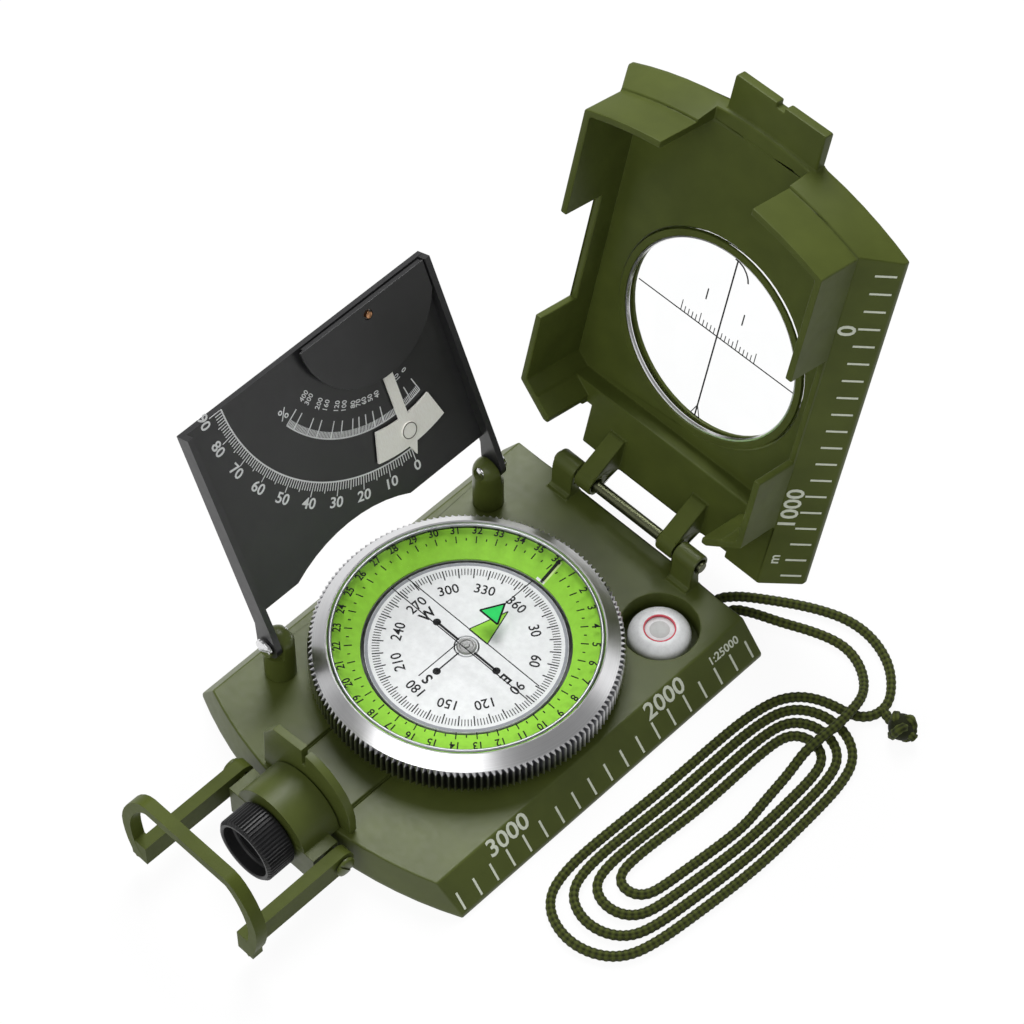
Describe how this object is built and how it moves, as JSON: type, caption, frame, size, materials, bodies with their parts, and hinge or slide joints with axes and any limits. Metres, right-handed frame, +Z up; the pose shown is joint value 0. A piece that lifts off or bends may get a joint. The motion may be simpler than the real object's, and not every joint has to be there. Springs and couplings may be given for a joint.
{
  "type": "geology compass",
  "caption": "Folding sighting compass with a turning bezel, floating card, hinged window lid, folding clinometer with pendulum, prism eyepiece, round level, thumb bail and a lanyard.",
  "frame": {"origin": "where the dial's axis meets the flat underside of the base", "axes": "+Z up along the dial's axis, +Y from the eyepiece towards the lid's hinge, +X towards the ruler edge on the lanyard's side"},
  "size_m": [0.1048, 0.1405, 0.0956],
  "materials": {
    "body_paint": "satin olive paint on cast metal",
    "dark_paint": "satin dark olive paint on cast metal",
    "black_paint": "satin black with white print",
    "black_plastic": "matt black, knurled",
    "white_plastic": "matt white",
    "card_print": "matt white card with black print",
    "green_scale": "lime green ring with black print",
    "bezel_metal": "satin, knurled",
    "bright_metal": "polished",
    "steel": "plain",
    "pin_metal": "copper coloured",
    "clear": "clear",
    "cord": "braided cord"
  },
  "bodies": {
    "base": {"base_body": "body_paint", "bottom_cover": "dark_paint", "capsule_cup": "white_plastic", "pivot_needle": "steel", "bezel_spring_ring": "steel", "hinge_pin": "steel", "level_vial": "white_plastic", "level_lens": "clear", "post_front": "dark_paint", "post_rear": "dark_paint", "clino_screw_front": "bright_metal", "clino_screw_rear": "bright_metal", "prism_housing": "dark_paint", "reading_prism": "clear", "rear_sight": "dark_paint", "bail_screw_left": "bright_metal", "bail_screw_right": "bright_metal", "lanyard_anchor": "dark_paint", "cord_strand_a": "cord", "cord_strand_b": "cord", "cord_tail": "cord", "cord_hank": "cord", "cord_knot": "cord"},
    "lid": {"lid_shell": "body_paint", "window_glass": "clear", "window_ring": "bright_metal"},
    "clinometer": {"clinometer_panel": "black_paint", "pivot_shield": "black_paint", "pendulum_pin": "pin_metal"},
    "pendulum": {"pendulum": "steel"},
    "bezel": {"bezel_ring": "bezel_metal", "scale_ring": "green_scale", "crystal": "clear", "crystal_rim": "bright_metal"},
    "card": {"compass_card": "card_print", "magnet_bar": "steel", "jewel_cap": "steel"},
    "bail": {"bail": "body_paint"},
    "eyepiece": {"eyepiece_ring": "black_plastic", "eyepiece_lens": "clear"}
  },
  "joints": [
    {"name": "lid_hinge", "type": "hinge", "parent": "base", "child": "lid", "pos_m": [0, 0.0411, 0.0125], "axis": [1, 0, 0], "range_deg": [-35, 28]},
    {"name": "clinometer_fold", "type": "hinge", "parent": "base", "child": "clinometer", "pos_m": [-0.0224, 0, 0.0172], "axis": [0, 1, 0], "range_deg": [0, 106]},
    {"name": "pendulum_swing", "type": "hinge", "parent": "clinometer", "child": "pendulum", "pos_m": [-0.03939, 0.0146, 0.05822], "axis": [-0.9239, 0, -0.3827], "range_deg": [-10, 90]},
    {"name": "bezel_turn", "type": "hinge", "parent": "base", "child": "bezel", "pos_m": [0, 0, 0.0125], "axis": [0, 0, 1], "continuous": true},
    {"name": "card_turn", "type": "hinge", "parent": "base", "child": "card", "pos_m": [0, 0, 0.0125], "axis": [0, 0, 1], "continuous": true},
    {"name": "bail_swing", "type": "hinge", "parent": "base", "child": "bail", "pos_m": [0, -0.0431, 0.0065], "axis": [1, 0, 0], "range_deg": [-90, 0]},
    {"name": "eyepiece_focus", "type": "slide", "parent": "base", "child": "eyepiece", "axis": [0, -1, 0], "range_m": [0, 0.002]}
  ]
}
